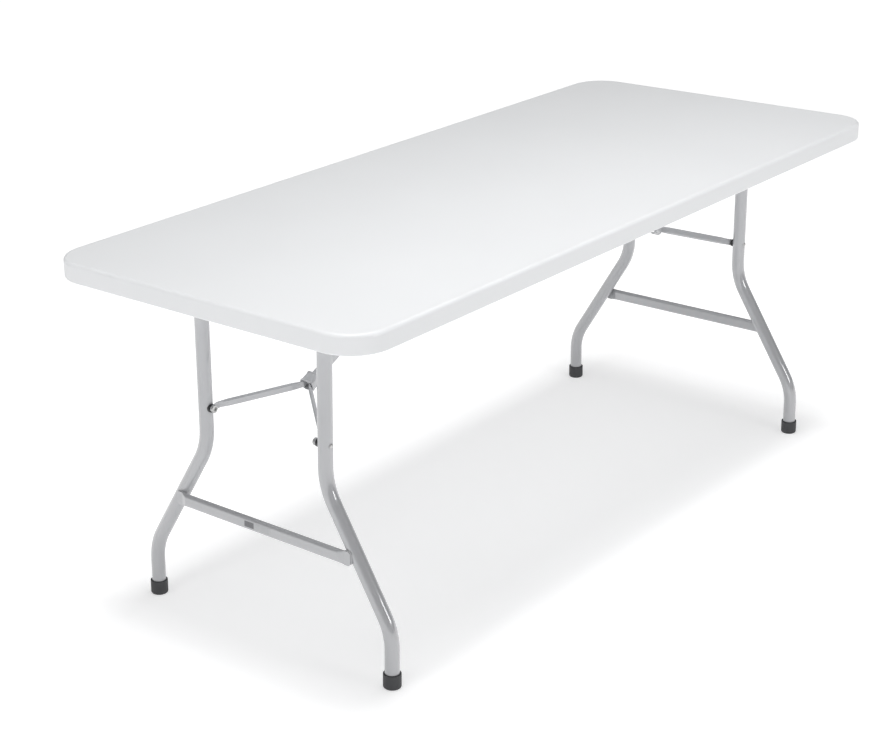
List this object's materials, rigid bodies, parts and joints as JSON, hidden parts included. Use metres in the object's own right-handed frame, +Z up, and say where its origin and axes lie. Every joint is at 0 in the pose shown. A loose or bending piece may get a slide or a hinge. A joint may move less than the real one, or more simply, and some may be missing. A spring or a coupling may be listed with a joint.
{
  "type": "folding table",
  "caption": "Rectangular folding utility table with a hollow moulded plastic top on two hinged, knee-braced bent-tube steel leg frames.",
  "frame": {"origin": "on the floor under the middle of the table top", "axes": "+X along the table's length towards its right end, +Y towards its rear long edge, +Z up"},
  "size_m": [1.8288, 0.762, 0.744],
  "materials": {
    "top_plastic": "white blow-moulded polyethylene, finely textured, satin",
    "leg_paint": "light grey powder coat, semi-gloss",
    "frame_paint": "light grey powder coat, semi-gloss",
    "plated_steel": "zinc plate, dull",
    "cap_plastic": "charcoal moulded plastic, matt",
    "bush_plastic": "black nylon, matt"
  },
  "bodies": {
    "top": {"tabletop": "top_plastic", "rail_front": "frame_paint", "rail_rear": "frame_paint", "rail_screws": "plated_steel", "bracket_rivets": "plated_steel", "link_beam_left": "frame_paint", "anchor_bracket_left": "frame_paint", "anchor_rivets_left": "plated_steel", "anchor_pin_left": "plated_steel", "pivot_bracket_left_front": "frame_paint", "pivot_bracket_left_rear": "frame_paint", "pivot_bush_left_front": "bush_plastic", "pivot_bush_left_rear": "bush_plastic", "link_beam_right": "frame_paint", "anchor_bracket_right": "frame_paint", "anchor_rivets_right": "plated_steel", "anchor_pin_right": "plated_steel", "pivot_bracket_right_front": "frame_paint", "pivot_bracket_right_rear": "frame_paint", "pivot_bush_right_front": "bush_plastic", "pivot_bush_right_rear": "bush_plastic"},
    "leg_frame_left": {"pivot_tube_left": "leg_paint", "crossbar_left": "leg_paint", "leg_rivets_left": "plated_steel", "brace_spacers_left": "bush_plastic", "leg_left_front": "leg_paint", "leg_left_rear": "leg_paint", "foot_cap_left_front": "cap_plastic", "foot_cap_left_rear": "cap_plastic"},
    "brace_link_left": {"upper_link_left": "leg_paint"},
    "brace_arms_left": {"brace_arm_left_front": "leg_paint", "brace_arm_left_rear": "leg_paint", "knee_pin_left": "plated_steel", "brace_collars_left": "plated_steel"},
    "lock_sleeve_left": {"lock_sleeve_left": "leg_paint"},
    "leg_frame_right": {"pivot_tube_right": "leg_paint", "crossbar_right": "leg_paint", "leg_rivets_right": "plated_steel", "brace_spacers_right": "bush_plastic", "leg_right_front": "leg_paint", "leg_right_rear": "leg_paint", "foot_cap_right_front": "cap_plastic", "foot_cap_right_rear": "cap_plastic"},
    "brace_link_right": {"upper_link_right": "leg_paint"},
    "brace_arms_right": {"brace_arm_right_front": "leg_paint", "brace_arm_right_rear": "leg_paint", "knee_pin_right": "plated_steel", "brace_collars_right": "plated_steel"},
    "lock_sleeve_right": {"lock_sleeve_right": "leg_paint"}
  },
  "joints": [
    {"name": "leg_fold_left", "type": "hinge", "parent": "top", "child": "leg_frame_left", "pos_m": [-0.7399, 0, 0.677], "axis": [0, -1, 0], "range_deg": [0, 91.09]},
    {"name": "link_swing_left", "type": "hinge", "parent": "top", "child": "brace_link_left", "pos_m": [-0.20111, 0, 0.677], "axis": [0, -1, 0], "range_deg": [-24.63, 0]},
    {"name": "knee_bend_left", "type": "hinge", "parent": "brace_link_left", "child": "brace_arms_left", "pos_m": [-0.609, 0, 0.49], "axis": [0, -1, 0], "range_deg": [0, 185.87]},
    {"name": "sleeve_slide_left", "type": "slide", "parent": "brace_link_left", "child": "lock_sleeve_left", "axis": [0.909, 0, 0.4167], "range_m": [0, 0.15501]},
    {"name": "leg_fold_right", "type": "hinge", "parent": "top", "child": "leg_frame_right", "pos_m": [0.7399, 0, 0.677], "axis": [0, 1, 0], "range_deg": [0, 91.09]},
    {"name": "link_swing_right", "type": "hinge", "parent": "top", "child": "brace_link_right", "pos_m": [0.20111, 0, 0.677], "axis": [0, 1, 0], "range_deg": [-24.63, 0]},
    {"name": "knee_bend_right", "type": "hinge", "parent": "brace_link_right", "child": "brace_arms_right", "pos_m": [0.609, 0, 0.49], "axis": [0, 1, 0], "range_deg": [0, 185.87]},
    {"name": "sleeve_slide_right", "type": "slide", "parent": "brace_link_right", "child": "lock_sleeve_right", "axis": [-0.909, 0, 0.4167], "range_m": [0, 0.15501]}
  ],
  "couplings": [
    {"joint": "link_swing_left", "follows": "leg_fold_left", "ratio": -0.27039},
    {"joint": "knee_bend_left", "follows": "leg_fold_left", "ratio": 2.0405},
    {"joint": "sleeve_slide_left", "follows": "leg_fold_left", "m_per_rad": 0.097495},
    {"joint": "link_swing_right", "follows": "leg_fold_right", "ratio": -0.27039},
    {"joint": "knee_bend_right", "follows": "leg_fold_right", "ratio": 2.0405},
    {"joint": "sleeve_slide_right", "follows": "leg_fold_right", "m_per_rad": 0.097495}
  ]
}
